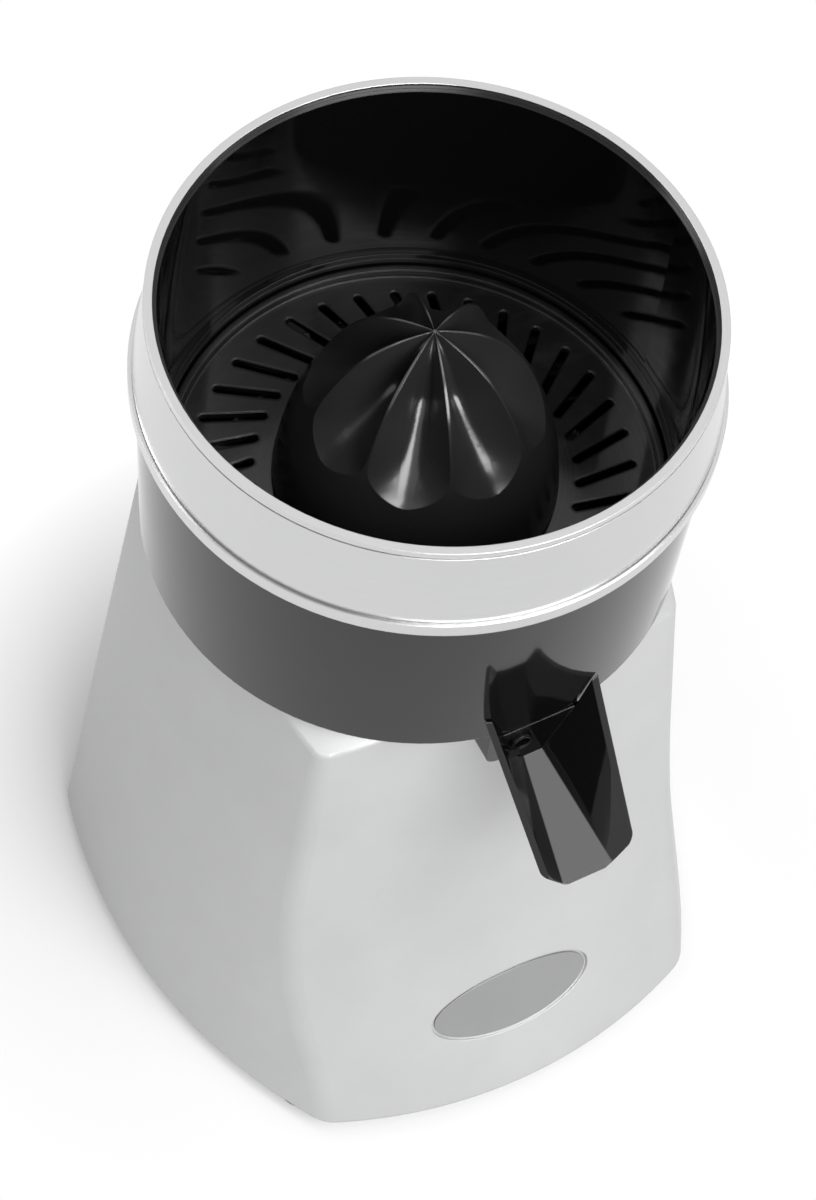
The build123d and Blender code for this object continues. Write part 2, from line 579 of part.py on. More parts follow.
with BuildPart() as base_housing:
    loft([housing_outline(z) for z in heights(RIM, DECK)])
    with BuildSketch(Plane.XZ):
        land_reach = RIM_FRONT_Y + RIM_BACK_X
        land_fall = (land_reach - LAND_RADIUS) * math.tan(math.radians(LAND_SLOPE))
        with BuildLine():
            Polyline(
                (0, 0),
                (land_reach, 0),
                (land_reach, DECK - land_fall),
                (LAND_RADIUS, DECK),
                (0, DECK),
                close=True,
            )
        make_face()
    revolve(axis=Axis.Z, mode=Mode.INTERSECT)
    fillet(base_housing.edges().filter_by_position(Axis.Z, SHOULDER - LAND_ROUND, DECK), LAND_ROUND)
    add(cavity.part, mode=Mode.SUBTRACT)
    with Locations((0, 0, DECK_UNDER)):
        Cylinder(
            MOTOR_BOLT_CIRCLE + EAR_RADIUS + PAD_EDGE, CAVITY_STEP, align=DOWN, mode=Mode.SUBTRACT
        )
    with Locations((0, 0, DECK)):
        Cylinder(NECK_RADIUS, NECK_HEIGHT, align=UP)
    with Locations((0, 0, DECK_UNDER)):
        Cylinder(NECK_BORE, DECK_THICKNESS + NECK_HEIGHT, align=UP, mode=Mode.SUBTRACT)
        with PolarLocations(MOTOR_BOLT_CIRCLE, MOTOR_BOLTS, start_angle=45):
            Cylinder(MOTOR_BOLT_RADIUS + FIT_GAP, MOTOR_BOLT_BITE, align=UP, mode=Mode.SUBTRACT)
    with Locations((0, 0, DECK + NECK_HEIGHT)):
        Cylinder(SEAL_RADIUS + FIT_GAP, SEAL_HEIGHT, align=DOWN, mode=Mode.SUBTRACT)
    for x, y in FEET.values():
        with Locations((x, y, PLATE_TOP)):
            Cylinder(FOOT_SCREW_RADIUS + FIT_GAP, FOOT_SCREW_BITE, align=UP, mode=Mode.SUBTRACT)
    add(badge_recess.part, mode=Mode.SUBTRACT)
    with Locations((0, SWITCH_FACE, SWITCH_Z)):
        Box(
            SWITCH_OPENING_X + 2 * (SWITCH_FLANGE_EDGE + LOOSE_GAP),
            PAD_REACH,
            SWITCH_OPENING_Z + 2 * (SWITCH_FLANGE_EDGE + LOOSE_GAP),
            align=BEHIND,
            mode=Mode.SUBTRACT,
        )
        Box(SWITCH_OPENING_X, PAD_REACH, SWITCH_OPENING_Z, mode=Mode.SUBTRACT)
    with Locations((GLAND_X, GLAND_FACE, GLAND_Z)):
        Cylinder(
            GLAND_FLANGE + LOOSE_GAP, PAD_REACH, rotation=TO_BACK, align=UP, mode=Mode.SUBTRACT
        )
        Cylinder(GLAND_RADIUS + FIT_GAP, PAD_REACH, rotation=TO_BACK, mode=Mode.SUBTRACT)
save(base_housing, "base_housing")

with BuildPart() as badge_plate:
    with BuildSketch(badge_plane.offset(-BADGE_SAG)):
        Ellipse(badge_half - BADGE_INSET, BADGE_LENGTH / 2 - BADGE_INSET)
    extrude(amount=BADGE_REACH)
    add(floor_layer(BADGE_PLATE).part, mode=Mode.INTERSECT)
save(badge_plate, "badge_plate")

with BuildPart() as base_plate:
    extrude(housing_outline(PLATE_TOP, WALL + PLATE_GAP), amount=-PLATE_THICKNESS)
    for x, y in FEET.values():
        with Locations((x, y, PLATE_TOP)):
            Cylinder(FOOT_SCREW_RADIUS + FIT_GAP, PLATE_THICKNESS, align=DOWN, mode=Mode.SUBTRACT)
    with BuildSketch(Plane.XY.offset(PLATE_UNDER)):
        with GridLocations(VENT_PITCH, 0, VENT_COUNT, 1):
            SlotOverall(VENT_LENGTH, VENT_WIDTH, rotation=90)
    extrude(amount=PLATE_THICKNESS, mode=Mode.SUBTRACT)
save(base_plate, "base_plate")

for foot_name, (x, y) in FEET.items():
    with BuildPart() as foot:
        with Locations((x, y, 0)):
            Cone(FOOT_RADIUS - FOOT_TAPER, FOOT_RADIUS, RIM - LOOSE_GAP, align=UP)
            Cylinder(FOOT_NECK, PLATE_UNDER, align=UP)
            Cylinder(FOOT_SCREW_HEAD + LOOSE_GAP, FOOT_SEAT, align=UP, mode=Mode.SUBTRACT)
            Cylinder(FOOT_SCREW_RADIUS + FIT_GAP, PLATE_UNDER, align=UP, mode=Mode.SUBTRACT)
    save(foot, foot_name)

with BuildPart() as foot_screws:
    for x, y in FEET.values():
        with Locations((x, y, FOOT_SEAT)):
            Cylinder(FOOT_SCREW_HEAD, FOOT_SCREW_HEAD_HEIGHT, align=DOWN)
            Cylinder(FOOT_SCREW_RADIUS, PLATE_TOP + FOOT_SCREW_BITE - FOOT_SEAT, align=UP)
save(foot_screws, "foot_screws")

# Motor
with BuildPart() as stator_core:
    with BuildSketch(Plane.XY.offset(STATOR_LOW)):
        Circle(STATOR_RADIUS)
        Circle(STATOR_BORE, mode=Mode.SUBTRACT)
        with PolarLocations(STATOR_BORE, STATOR_SLOTS):
            Rectangle(2 * SLOT_DEPTH, SLOT_WIDTH, mode=Mode.SUBTRACT)
    extrude(amount=STATOR_LENGTH)
save(stator_core, "stator_core")

with BuildPart() as stator_windings:
    for coil_middle in (STATOR_TOP + WINDING_HEIGHT / 2, STATOR_LOW - WINDING_HEIGHT / 2):
        with BuildSketch(Plane.XZ):
            with Locations(((WINDING_INNER + WINDING_OUTER) / 2, coil_middle)):
                RectangleRounded(WINDING_OUTER - WINDING_INNER, WINDING_HEIGHT, WINDING_ROUND)
        revolve(axis=Axis.Z)
save(stator_windings, "stator_windings")


def end_bell(end, rim, ear_low):
    """Motor end bell: a cup from its closed end to its rim, with a bearing seat and bolt ears."""
    inward = math.copysign(1, rim - end)
    inside = end + inward * BELL_END
    seat_end = inside + inward * BEARING_WIDTH
    seat_radius = BEARING_RADIUS + FIT_GAP
    seat_outside = seat_radius + BEARING_SEAT_WALL
    with BuildPart() as bell:
        with BuildSketch(Plane.XZ):
            with BuildLine():
                Polyline(
                    (SHAFT_COLLAR, end),
                    (STATOR_RADIUS, end),
                    (STATOR_RADIUS, rim),
                    (STATOR_RADIUS - BELL_WALL, rim),
                    (STATOR_RADIUS - BELL_WALL, inside),
                    (seat_outside, inside),
                    (seat_outside, seat_end),
                    (seat_radius, seat_end),
                    (seat_radius, inside),
                    (SHAFT_COLLAR, inside),
                    close=True,
                )
            make_face()
        revolve(axis=Axis.Z)
        with BuildSketch(Plane.XY.offset(ear_low)):
            with PolarLocations(MOTOR_BOLT_CIRCLE, MOTOR_BOLTS, start_angle=45):
                Circle(EAR_RADIUS)
            Circle(STATOR_RADIUS - BELL_WALL, mode=Mode.SUBTRACT)
        extrude(amount=EAR_HEIGHT)
        with BuildSketch(Plane.XY.offset(ear_low)):
            with PolarLocations(MOTOR_BOLT_CIRCLE, MOTOR_BOLTS, start_angle=45):
                Circle(MOTOR_BOLT_RADIUS + FIT_GAP)
        extrude(amount=EAR_HEIGHT, mode=Mode.SUBTRACT)
    return bell


def ball_bearing(low):
    """Ball bearing with a groove between its rings on each face."""
    with BuildPart() as bearing:
        with BuildSketch(Plane.XZ):
            ring_section(SHAFT_RADIUS + FIT_GAP, BEARING_RADIUS, low, low + BEARING_WIDTH)
        revolve(axis=Axis.Z)
        for groove_low in (low, low + BEARING_WIDTH - BEARING_GROOVE_DEPTH):
            with BuildSketch(Plane.XZ):
                ring_section(
                    BEARING_GROOVE_INNER, BEARING_GROOVE_OUTER, groove_low, groove_low + BEARING_GROOVE_DEPTH
                )
            revolve(axis=Axis.Z, mode=Mode.SUBTRACT)
    return bearing


save(end_bell(DECK_UNDER, STATOR_TOP, DECK_UNDER - EAR_HEIGHT), "motor_upper_bell")
save(end_bell(BELL_LOW, STATOR_LOW, STATOR_LOW - EAR_HEIGHT), "motor_lower_bell")
save(ball_bearing(DECK_UNDER - BELL_END - BEARING_WIDTH), "upper_bearing")
save(ball_bearing(BELL_LOW + BELL_END), "lower_bearing")

with BuildPart() as motor_bolts:
    with Locations((0, 0, STATOR_LOW - EAR_HEIGHT)):
        with PolarLocations(MOTOR_BOLT_CIRCLE, MOTOR_BOLTS, start_angle=45):
            Cylinder(MOTOR_BOLT_HEAD, MOTOR_BOLT_HEAD_HEIGHT, align=DOWN)
            Cylinder(
                MOTOR_BOLT_RADIUS, DECK_UNDER + MOTOR_BOLT_BITE - STATOR_LOW + EAR_HEIGHT, align=UP
            )
save(motor_bolts, "motor_bolts")

with BuildPart() as rotor_core:
    with BuildSketch(Plane.XZ):
        ring_section(SHAFT_RADIUS + FIT_GAP, STATOR_BORE - AIR_GAP, STATOR_LOW, STATOR_TOP)
        ring_section(
            END_RING_INNER, END_RING_OUTER, STATOR_LOW - END_RING_HEIGHT, STATOR_TOP + END_RING_HEIGHT
        )
    revolve(axis=Axis.Z)
save(rotor_core, "rotor_core")

with BuildPart() as motor_shaft:
    with Locations((0, 0, SHAFT_LOW)):
        Cylinder(SHAFT_RADIUS, SHAFT_TOP - SHAFT_LOW, align=UP)
    chamfer(motor_shaft.edges().sort_by(Axis.Z)[-1], SHAFT_CHAMFER)
    with Locations((0, 0, STATOR_LOW)):
        Cylinder(SHAFT_COLLAR, SHAFT_COLLAR_HEIGHT, align=DOWN)
    with Locations((0, 0, DECK + PIN_HEIGHT)):
        Cylinder(PIN_RADIUS + FIT_GAP, PIN_LENGTH, rotation=ALONG_X, mode=Mode.SUBTRACT)
save(motor_shaft, "motor_shaft")

with BuildPart() as drive_pin:
    with Locations((0, 0, DECK + PIN_HEIGHT)):
        Cylinder(PIN_RADIUS, PIN_LENGTH, rotation=ALONG_X)
save(drive_pin, "drive_pin")

with BuildPart() as cooling_fan:
    with Locations((0, 0, FAN_TOP)):
        Cylinder(FAN_RADIUS, FAN_DISC, align=DOWN)
        Cylinder(FAN_HUB, FAN_HEIGHT, align=DOWN)
        with PolarLocations(0, FAN_BLADES):
            Box(FAN_RADIUS, FAN_BLADE_THICKNESS, FAN_HEIGHT, align=(Align.MIN, Align.CENTER, Align.MAX))
        Cylinder(SHAFT_RADIUS + FIT_GAP, FAN_HEIGHT, align=DOWN, mode=Mode.SUBTRACT)
save(cooling_fan, "cooling_fan")

with BuildPart() as shaft_seal:
    with BuildSketch(Plane.XZ):
        ring_section(
            SHAFT_RADIUS + FIT_GAP, SEAL_RADIUS, DECK + NECK_HEIGHT - SEAL_HEIGHT, DECK + NECK_HEIGHT
        )
    revolve(axis=Axis.Z)
    with BuildSketch(Plane.XZ):
        ring_section(
            SEAL_GROOVE_INNER, SEAL_GROOVE_OUTER, DECK + NECK_HEIGHT - SEAL_GROOVE_DEPTH, DECK + NECK_HEIGHT
        )
    revolve(axis=Axis.Z, mode=Mode.SUBTRACT)
save(shaft_seal, "shaft_seal")

# Drive sleeve: slotted over the cross pin, hexagonal where the reamer sits
with BuildPart() as drive_sleeve:
    with Locations((0, 0, SLEEVE_LOW)):
        Cylinder(SLEEVE_FOOT_RADIUS, SLEEVE_FOOT_HEIGHT, align=UP)
    with BuildSketch(Plane.XY.offset(SLEEVE_STEP)):
        RegularPolygon(SLEEVE_FLATS / 2, 6, major_radius=False)
    extrude(amount=SLEEVE_TOP - SLEEVE_STEP)
    with Locations((0, 0, SLEEVE_LOW)):
        Cylinder(SHAFT_RADIUS + FIT_GAP, SHAFT_TOP - SLEEVE_LOW, align=UP, mode=Mode.SUBTRACT)
        Box(
            2 * SLEEVE_FOOT_RADIUS,
            2 * (PIN_RADIUS + LOOSE_GAP),
            SLEEVE_FOOT_DROP + PIN_RADIUS + LOOSE_GAP,
            align=UP,
            mode=Mode.SUBTRACT,
        )
save(drive_sleeve, "drive_sleeve")

# Bowl: a double wall below the strainer's shelf, a chimney round the neck and an outlet boss in front
FLOOR_RIM = FLOOR_UNDER + FLOOR_THICKNESS
WELL_Y = -(BOSS_FRONT + BOSS_BACK + WELL_DEPTH) / 2
with BuildPart() as bowl:
    with BuildSketch(Plane.XZ) as bowl_profile:
        with BuildLine():
            Polyline(
                (BOWL_EDGE_RADIUS, BOWL_EDGE),
                (BOWL_BELT_RADIUS, BELT),
                (BOWL_MOUTH_RADIUS, BOWL_TOP),
                (BOWL_MOUTH_RADIUS - BOWL_WALL, BOWL_TOP),
                (LEDGE_RADIUS + LEDGE_WIDTH, LEDGE),
                (LEDGE_RADIUS, LEDGE),
                (LEDGE_RADIUS, SHELF),
                (SHELF_RADIUS, SHELF),
                (SHELF_RADIUS, FLOOR_RIM),
                (CHIMNEY_RADIUS, FLOOR_RIM + FLOOR_FALL),
                (CHIMNEY_RADIUS, CHIMNEY_TOP),
                (CHIMNEY_BORE, CHIMNEY_TOP),
                (CHIMNEY_BORE, FLOOR_UNDER),
                (CHAMBER_OUTSIDE - FOOT_RING_WIDTH, FLOOR_UNDER),
                (CHAMBER_OUTSIDE - FOOT_RING_WIDTH, DECK),
                (CHAMBER_OUTSIDE, DECK),
                (CHAMBER_OUTSIDE, SHELF - BOWL_WALL),
                (BOWL_EDGE_RADIUS - BOWL_WALL, SHELF - BOWL_WALL),
                (BOWL_EDGE_RADIUS - BOWL_WALL, BOWL_EDGE),
                close=True,
            )
        make_face()
        soft_corners = bowl_profile.vertices().filter_by(
            lambda corner: corner.Z > SHELF or corner.X > BOWL_EDGE_RADIUS - FIT_GAP
        )
        fillet(soft_corners.filter_by(lambda corner: corner.X > SHELF_RADIUS), BOWL_EDGE_ROUND)
    revolve(axis=Axis.Z)
    with Locations((0, -BOSS_FRONT, DECK - BOSS_DROP)):
        Box(
            2 * BOSS_HALF_WIDTH,
            BOSS_FRONT - BOSS_BACK,
            BOSS_DROP + BOWL_EDGE_LIFT + OVERRUN,
            align=(Align.CENTER, Align.MIN, Align.MIN),
        )
    fillet(bowl.edges().filter_by(Axis.Y).group_by(Axis.Z)[0], BOSS_ROUND)
    with Locations((0, -BOWL_EDGE_RADIUS + BOWL_EDGE_ROUND, BOWL_EDGE + OVERRUN)):
        Box(
            2 * WELL_BLOCK_HALF,
            BOWL_EDGE_RADIUS - BOSS_BACK,
            SHELF - BOWL_EDGE - 2 * OVERRUN,
            align=BEHIND_UP,
        )
    with Locations((STUB_X, WELL_Y, STUB_Z - STUB_BORE)):
        Box(
            WELL_WIDTH,
            WELL_DEPTH,
            FLOOR_RIM + CHANNEL_HEIGHT - STUB_Z + STUB_BORE,
            align=BEHIND_UP,
            mode=Mode.SUBTRACT,
        )
    with Locations((STUB_X, WELL_Y, FLOOR_RIM)):
        Box(
            WELL_WIDTH,
            -WELL_Y - SHELF_RADIUS + OVERRUN,
            CHANNEL_HEIGHT,
            align=BEHIND_UP,
            mode=Mode.SUBTRACT,
        )
    with Locations((STUB_X, -BOSS_FRONT - STUB_LENGTH, STUB_Z)):
        Cylinder(STUB_RADIUS, STUB_LENGTH + OVERRUN, rotation=TO_BACK, align=UP)
        Cylinder(
            STUB_BORE,
            BOSS_FRONT + STUB_LENGTH + WELL_Y + OVERRUN,
            rotation=TO_BACK,
            align=UP,
            mode=Mode.SUBTRACT,
        )
save(bowl, "bowl")

with BuildPart() as bowl_gasket:
    with BuildSketch(Plane.XZ):
        ring_section(GASKET_RADIUS - GASKET_WIDTH, GASKET_RADIUS, DECK, FLOOR_UNDER)
    revolve(axis=Axis.Z)
save(bowl_gasket, "bowl_gasket")

# Splash ring: rolled sheet with a lip on the bowl's top edge, a groove and a bead at its lower end
ring_bottom = BOWL_BELT_RADIUS + LOOSE_GAP
ring_mouth = BOWL_MOUTH_RADIUS + LOOSE_GAP
ring_lean = (ring_bottom - ring_mouth) / (BOWL_TOP - BELT)
bead_top = BELT + RING_BEAD_HEIGHT
wall_low = bead_top + RING_GROOVE_HEIGHT


def ring_outside(z):
    """Outer radius of the splash ring's plain wall at height z."""
    return ring_mouth + ring_lean * (BOWL_TOP - z) + RING_SHEET


with BuildPart() as splash_ring:
    with BuildSketch(Plane.XZ) as ring_profile:
        with BuildLine():
            Polyline(
                (ring_bottom, BELT),
                (ring_mouth, BOWL_TOP),
                (RING_LIP_INNER, BOWL_TOP),
                (RING_LIP_INNER, BOWL_TOP + RING_LIP_HEIGHT),
                (ring_outside(BOWL_TOP), BOWL_TOP + RING_LIP_HEIGHT),
                (ring_outside(BOWL_TOP), BOWL_TOP),
                (ring_outside(BOWL_TOP) - RING_GROOVE, BOWL_TOP),
                (ring_outside(BOWL_TOP) - RING_GROOVE, BOWL_TOP - RING_GROOVE),
                (ring_outside(BOWL_TOP - RING_GROOVE), BOWL_TOP - RING_GROOVE),
                (ring_outside(wall_low), wall_low),
                (ring_outside(wall_low) - RING_GROOVE, wall_low),
                (ring_outside(bead_top) - RING_GROOVE, bead_top),
                (ring_outside(BELT) + RING_BEAD_OUT, bead_top),
                (ring_outside(BELT) + RING_BEAD_OUT, BELT),
                close=True,
            )
        make_face()
        lip_corners = ring_profile.vertices().filter_by(
            lambda corner: corner.Z > BOWL_TOP + RING_LIP_HEIGHT - FIT_GAP
        )
        fillet(lip_corners, RING_LIP_ROUND)
    revolve(axis=Axis.Z)
save(splash_ring, "splash_ring")

# Strainer with skewed slots
collar_inner = CHIMNEY_RADIUS + CHIMNEY_GAP
strainer_radius = LEDGE_RADIUS - 2 * LOOSE_GAP
rim_top = SHELF + STRAINER_RIM_HEIGHT
collar_top = SHELF + STRAINER_COLLAR_HEIGHT
with BuildPart() as strainer:
    with BuildSketch(Plane.XZ) as strainer_profile:
        ring_section(collar_inner, strainer_radius, SHELF, STRAINER_TOP)
        ring_section(strainer_radius - STRAINER_RIM_WIDTH, strainer_radius, SHELF, rim_top)
        ring_section(collar_inner, collar_inner + STRAINER_COLLAR_WALL, SHELF, collar_top)
        fillet(
            strainer_profile.vertices().filter_by(lambda corner: corner.Z > STRAINER_TOP + FIT_GAP),
            STRAINER_RIM_ROUND,
        )
    revolve(axis=Axis.Z)
    with BuildSketch(Plane.XY.offset(SHELF)):
        skew = math.radians(SLOT_SKEW)
        across = SLOT_INNER * math.sin(skew)
        slot_reach = math.sqrt(SLOT_OUTER ** 2 - across ** 2) - SLOT_INNER * math.cos(skew)
        with PolarLocations(SLOT_INNER, SLOT_COUNT):
            with Locations((slot_reach / 2 * math.cos(skew), slot_reach / 2 * math.sin(skew))):
                SlotOverall(slot_reach, SLOT_OPENING, rotation=SLOT_SKEW)
    extrude(amount=STRAINER_THICKNESS, mode=Mode.SUBTRACT)
save(strainer, "strainer")

# Reamer: a hollow ogive whose flutes are scooped out by a rounded wedge that widens and rises along the ridge
half_pitch = 180 / REAMER_RIDGES
reamer_height = REAMER_TIP - REAMER_LOW


def ridge_point(shares):
    """Point on a ridge, from its shares of the reamer's radius and of its height below the tip."""
    return REAMER_RADIUS * shares[0], REAMER_TIP - reamer_height * shares[1]


with BuildSketch(Plane.XZ) as reamer_profile:
    with BuildLine():
        ridge = Spline(
            (0, REAMER_TIP),
            ridge_point(RIDGE_UPPER),
            ridge_point(RIDGE_LOWER),
            (REAMER_RADIUS, REAMER_LOW),
            tangents=((1, -RIDGE_TIP_SLOPE), (RIDGE_FOOT_LEAN, -1)),
        )
        Polyline((REAMER_RADIUS, REAMER_LOW), (0, REAMER_LOW), (0, REAMER_TIP))
    make_face()


def flute_section(share, depth, point_round, lean):
    """Rounded wedge of the flute's cutter, across the ridge at the given share of its length."""
    spot = ridge @ share
    along = ridge % share
    low = -REAMER_RADIUS * depth
    high = REAMER_RADIUS * FLUTE_HEADROOM
    half = (high - low) * math.tan(math.radians(lean))
    across_ridge = Plane(origin=(spot.X, 0, spot.Y), x_dir=(0, 1, 0), z_dir=(along.X, 0, along.Y))
    with BuildSketch(across_ridge) as section:
        with BuildLine():
            Polyline((0, low), (half, high), (-half, high), close=True)
        make_face()
        fillet(section.vertices().sort_by(Axis.Y)[0], REAMER_RADIUS * point_round)
    return section.sketch.face()


with BuildPart() as flute:
    loft([flute_section(*station) for station in FLUTE])

hub_low = SLEEVE_STEP + LOOSE_GAP
with BuildPart() as reamer:
    revolve(reamer_profile.sketch, axis=Axis.Z)
    with PolarLocations(0, REAMER_RIDGES, start_angle=REAMER_FIRST_RIDGE + half_pitch):
        add(flute.part, mode=Mode.SUBTRACT)
    with BuildSketch(Plane.XZ):
        with BuildLine():
            ThreePointArc(
                (REAMER_RADIUS - REAMER_WALL, REAMER_LOW),
                (REAMER_RADIUS * HOLLOW_MIDDLE[0], REAMER_LOW + reamer_height * HOLLOW_MIDDLE[1]),
                (REAMER_HUB_RADIUS, REAMER_LOW + reamer_height * HOLLOW_TOP),
            )
            Polyline(
                (REAMER_HUB_RADIUS, REAMER_LOW + reamer_height * HOLLOW_TOP),
                (REAMER_HUB_RADIUS, hub_low),
                (0, hub_low),
                (0, REAMER_LOW),
                (REAMER_RADIUS - REAMER_WALL, REAMER_LOW),
            )
        make_face()
    revolve(axis=Axis.Z, mode=Mode.SUBTRACT)
    with BuildSketch(Plane.XY.offset(hub_low)):
        RegularPolygon(SLEEVE_FLATS / 2 + LOOSE_GAP, 6, major_radius=False)
    extrude(amount=SLEEVE_TOP - hub_low, mode=Mode.SUBTRACT)
save(reamer, "reamer")


def chute_section(reach, half, floor_half, top, floor):
    """Trough section across the spout, at the given reach in front of the drive axis."""
    with BuildSketch(Plane.XZ.offset(reach)) as section:
        with BuildLine():
            Polyline((-half, top), (-floor_half, floor), (floor_half, floor), (half, top), close=True)
        make_face()
    return section.sketch.face()


# Spout: an open trough, steep-sided at its root and flat at its tip
with BuildPart() as trough:
    loft(
        [
            chute_section(
                SPOUT_ROOT_Y,
                SPOUT_ROOT_HALF,
                SPOUT_ROOT_FLOOR_HALF + SPOUT_WALL / 2,
                DECK + SPOUT_ROOT_TOP,
                DECK + SPOUT_ROOT_FLOOR - SPOUT_WALL,
            ),
            chute_section(
                SPOUT_TIP_Y,
                SPOUT_TIP_HALF,
                SPOUT_TIP_FLOOR_HALF + SPOUT_WALL / 2,
                DECK + SPOUT_TIP_TOP,
                DECK + SPOUT_TIP_FLOOR - SPOUT_WALL,
            ),
        ],
        ruled=True,
    )
    fillet(trough.edges().group_by(Axis.Y)[0].filter_by(Axis.X, reverse=True), SPOUT_ROUND)

with BuildPart() as channel:
    loft(
        [
            chute_section(
                SPOUT_ROOT_Y,
                SPOUT_ROOT_HALF - SPOUT_WALL,
                SPOUT_ROOT_FLOOR_HALF,
                DECK + SPOUT_ROOT_TOP,
                DECK + SPOUT_ROOT_FLOOR,
            ),
            chute_section(
                SPOUT_TIP_Y,
                SPOUT_TIP_HALF - SPOUT_WALL,
                SPOUT_TIP_FLOOR_HALF,
                DECK + SPOUT_TIP_TOP,
                DECK + SPOUT_TIP_FLOOR,
            ),
        ],
        ruled=True,
    )

spout_back_y = BOSS_FRONT + LOOSE_GAP
with BuildPart() as spout_back:
    add(trough.part)
    with Locations((0, -spout_back_y, BOWL_EDGE)):
        Box(
            2 * SPOUT_ROOT_HALF,
            SPOUT_BACK,
            BOWL_EDGE,
            align=(Align.CENTER, Align.MAX, Align.MAX),
            mode=Mode.INTERSECT,
        )

with BuildPart() as spout:
    add(trough.part)
    add(channel.part, mode=Mode.SUBTRACT)
    add(spout_back.part)
    with Locations((0, 0, BOWL_EDGE - LOOSE_GAP)):
        Cylinder(BOWL_EDGE_RADIUS + SPOUT_GAP, BOWL_HEIGHT, align=UP, mode=Mode.SUBTRACT)
    with Locations((0, -spout_back_y, 0)):
        Box(
            2 * SPOUT_TIP_Y,
            BOSS_FRONT,
            BOWL_EDGE + OVERRUN + LOOSE_GAP,
            align=BEHIND_UP,
            mode=Mode.SUBTRACT,
        )
    with Locations((STUB_X, -BOSS_FRONT - STUB_LENGTH - LOOSE_GAP, STUB_Z)):
        Cylinder(
            STUB_RADIUS + LOOSE_GAP, STUB_LENGTH + SPOUT_BACK, rotation=TO_BACK, align=UP, mode=Mode.SUBTRACT
        )
save(spout, "spout")

# Rocker switch and cable gland on the back
with BuildPart() as switch_body:
    with Locations((0, SWITCH_FACE, SWITCH_Z)):
        Box(
            SWITCH_OPENING_X + 2 * SWITCH_FLANGE_EDGE,
            SWITCH_FLANGE,
            SWITCH_OPENING_Z + 2 * SWITCH_FLANGE_EDGE,
            align=BEHIND,
        )
        Box(
            SWITCH_OPENING_X - 2 * FIT_GAP,
            SWITCH_DEPTH,
            SWITCH_OPENING_Z - 2 * FIT_GAP,
            align=(Align.CENTER, Align.MAX, Align.CENTER),
        )
    with Locations((0, SWITCH_FACE + SWITCH_FLANGE, SWITCH_Z)):
        Box(
            SWITCH_OPENING_X - 2 * SWITCH_WALL,
            SWITCH_POCKET,
            SWITCH_OPENING_Z - 2 * SWITCH_WALL,
            align=(Align.CENTER, Align.MAX, Align.CENTER),
            mode=Mode.SUBTRACT,
        )
save(switch_body, "switch_body")

rocker_half = SWITCH_OPENING_Z / 2 - SWITCH_WALL - ROCKER_SWING
rocker_face = ROCKER_PIVOT_DEPTH + ROCKER_PROUD
rocker_lean = math.radians(ROCKER_TILT)
rocker_plane = Plane(
    origin=(0, SWITCH_FACE + SWITCH_FLANGE - ROCKER_PIVOT_DEPTH, SWITCH_Z),
    x_dir=(0, math.cos(rocker_lean), -math.sin(rocker_lean)),
    z_dir=(1, 0, 0),
)
with BuildPart() as switch_rocker:
    with BuildSketch(rocker_plane):
        with BuildLine():
            Polyline(
                (-ROCKER_BACK, -rocker_half / 2),
                (rocker_face, -rocker_half),
                (rocker_face - rocker_half * math.tan(rocker_lean), 0),
                (rocker_face, rocker_half),
                (-ROCKER_BACK, rocker_half / 2),
                close=True,
            )
        make_face()
    extrude(amount=SWITCH_OPENING_X / 2 - SWITCH_WALL - LOOSE_GAP, both=True)
save(switch_rocker, "switch_rocker")

with BuildPart() as cable_gland:
    with Locations((GLAND_X, GLAND_FACE, GLAND_Z)):
        Cylinder(GLAND_FLANGE, GLAND_FLANGE_THICKNESS, rotation=TO_BACK, align=UP)
        Cylinder(GLAND_RADIUS, GLAND_TAIL, rotation=TO_BACK, align=DOWN)
        Cylinder(GLAND_BORE, 2 * GLAND_TAIL, rotation=TO_BACK, mode=Mode.SUBTRACT)
save(cable_gland, "cable_gland")

with BuildPart() as gland_nut:
    with BuildSketch(Plane.XZ.offset(PAD_THICKNESS - GLAND_FACE)):
        with Locations((GLAND_X, GLAND_Z)):
            RegularPolygon(GLAND_NUT, 6)
            Circle(GLAND_RADIUS + FIT_GAP, mode=Mode.SUBTRACT)
    extrude(amount=GLAND_NUT_THICKNESS)
save(gland_nut, "gland_nut")

# Electrics on the base plate
with BuildPart() as run_capacitor:
    with Locations((CAPACITOR_X, CAPACITOR_Y, PLATE_TOP + CAPACITOR_RADIUS)):
        Cylinder(CAPACITOR_RADIUS, CAPACITOR_LENGTH, rotation=TO_BACK)
    fillet(run_capacitor.edges().filter_by(GeomType.CIRCLE), CAPACITOR_ROUND)
save(run_capacitor, "run_capacitor")

clip_inside = CAPACITOR_RADIUS + FIT_GAP
clip_outside = clip_inside + CLIP_THICKNESS
with BuildPart() as capacitor_clip:
    with BuildSketch(Plane.XZ.offset(-CAPACITOR_Y - CLIP_WIDTH / 2)):
        with Locations((CAPACITOR_X, PLATE_TOP + CAPACITOR_RADIUS)):
            Circle(clip_outside)
            Rectangle(2 * clip_outside, CAPACITOR_RADIUS, align=(Align.CENTER, Align.MAX))
        with Locations((CAPACITOR_X, PLATE_TOP)):
            Rectangle(2 * (clip_outside + CLIP_FOOT), CLIP_THICKNESS, align=(Align.CENTER, Align.MIN))
        with Locations((CAPACITOR_X, PLATE_TOP + CAPACITOR_RADIUS)):
            Circle(clip_inside, mode=Mode.SUBTRACT)
            Rectangle(
                2 * clip_inside, 2 * CAPACITOR_RADIUS, align=(Align.CENTER, Align.MAX), mode=Mode.SUBTRACT
            )
    extrude(amount=CLIP_WIDTH)
save(capacitor_clip, "capacitor_clip")

